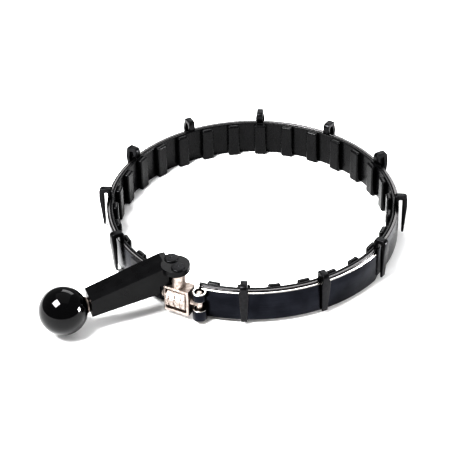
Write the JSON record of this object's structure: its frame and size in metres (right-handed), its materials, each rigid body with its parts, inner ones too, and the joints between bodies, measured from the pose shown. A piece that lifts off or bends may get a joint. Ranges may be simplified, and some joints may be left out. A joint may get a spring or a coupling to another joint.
{
  "type": "strap wrench",
  "caption": "Round spring-steel strap wrench with ribbed inside, hooks over its rim, an over-centre lever with a ball knob and a knurled adjuster nut.",
  "frame": {"origin": "centre of the gripping circle, half way up the strap", "axes": "+Z along the ring's axis towards the hooks' caps, -Y towards the lever's side of the ring"},
  "size_m": [0.2435, 0.2308, 0.0395],
  "materials": {
    "blued_steel": "blued spring steel strip, polished",
    "black_rubber": "moulded black ribbed liner, glossy",
    "black_oxide": "black oxide stamped steel",
    "black_paint": "black powder coat on a steel lever",
    "phenolic": "black phenolic ball, moulded and polished",
    "zinc_plate": "bright zinc plated turned steel",
    "bright_steel": "turned and polished steel"
  },
  "bodies": {
    "ring": {"strap": "blued_steel", "grip_liner": "black_rubber", "bracket": "black_oxide", "bracket_rivets": "bright_steel", "rib_01": "black_rubber", "rib_02": "black_rubber", "rib_03": "black_rubber", "rib_04": "black_rubber", "rib_05": "black_rubber", "rib_06": "black_rubber", "rib_07": "black_rubber", "rib_08": "black_rubber", "rib_09": "black_rubber", "rib_10": "black_rubber", "rib_11": "black_rubber", "rib_12": "black_rubber", "rib_13": "black_rubber", "rib_14": "black_rubber", "rib_15": "black_rubber", "rib_16": "black_rubber", "rib_17": "black_rubber", "rib_18": "black_rubber", "rib_19": "black_rubber", "rib_20": "black_rubber", "rib_21": "black_rubber", "rib_22": "black_rubber", "rib_23": "black_rubber", "rib_24": "black_rubber", "rib_25": "black_rubber", "rib_26": "black_rubber", "rib_27": "black_rubber", "rib_28": "black_rubber", "rib_29": "black_rubber", "hook_01": "black_oxide", "hook_02": "black_oxide", "hook_03": "black_oxide", "hook_04": "black_oxide", "hook_05": "black_oxide", "hook_06": "black_oxide", "hook_07": "black_oxide", "hook_08": "black_oxide", "hook_09": "black_oxide", "hook_10": "black_oxide", "hook_11": "black_oxide"},
    "lever": {"lever": "black_paint", "ferrule": "zinc_plate", "ball_knob": "phenolic", "knob_stud": "bright_steel", "pivot_pin": "black_oxide", "link_pin": "black_oxide"},
    "tension_band": {"tension_band": "blued_steel"},
    "link": {"yoke": "zinc_plate", "t_bolt": "zinc_plate"},
    "nut": {"adjuster_nut": "zinc_plate"}
  },
  "joints": [
    {"name": "lever_swing", "type": "hinge", "parent": "ring", "child": "lever", "pos_m": [-0.05266, -0.08265, 0], "axis": [0, 0, 1], "range_deg": [-38, 1]},
    {"name": "band_slide", "type": "hinge", "parent": "ring", "child": "tension_band", "pos_m": [0, 0, 0], "axis": [0, 0, 1], "range_deg": [-3.2, 0.15]},
    {"name": "link_turn", "type": "hinge", "parent": "lever", "child": "link", "pos_m": [-0.04802, -0.09225, 0], "axis": [0, 0, 1], "range_deg": [-2, 53]},
    {"name": "nut_spin", "type": "hinge", "parent": "link", "child": "nut", "pos_m": [-0.04802, -0.09225, 0.0013], "axis": [0.887, -0.4619, 0], "continuous": true}
  ],
  "couplings": [
    {"joint": "band_slide", "follows": "lever_swing", "ratio": 0.0825},
    {"joint": "link_turn", "follows": "lever_swing", "ratio": -1.3625}
  ]
}
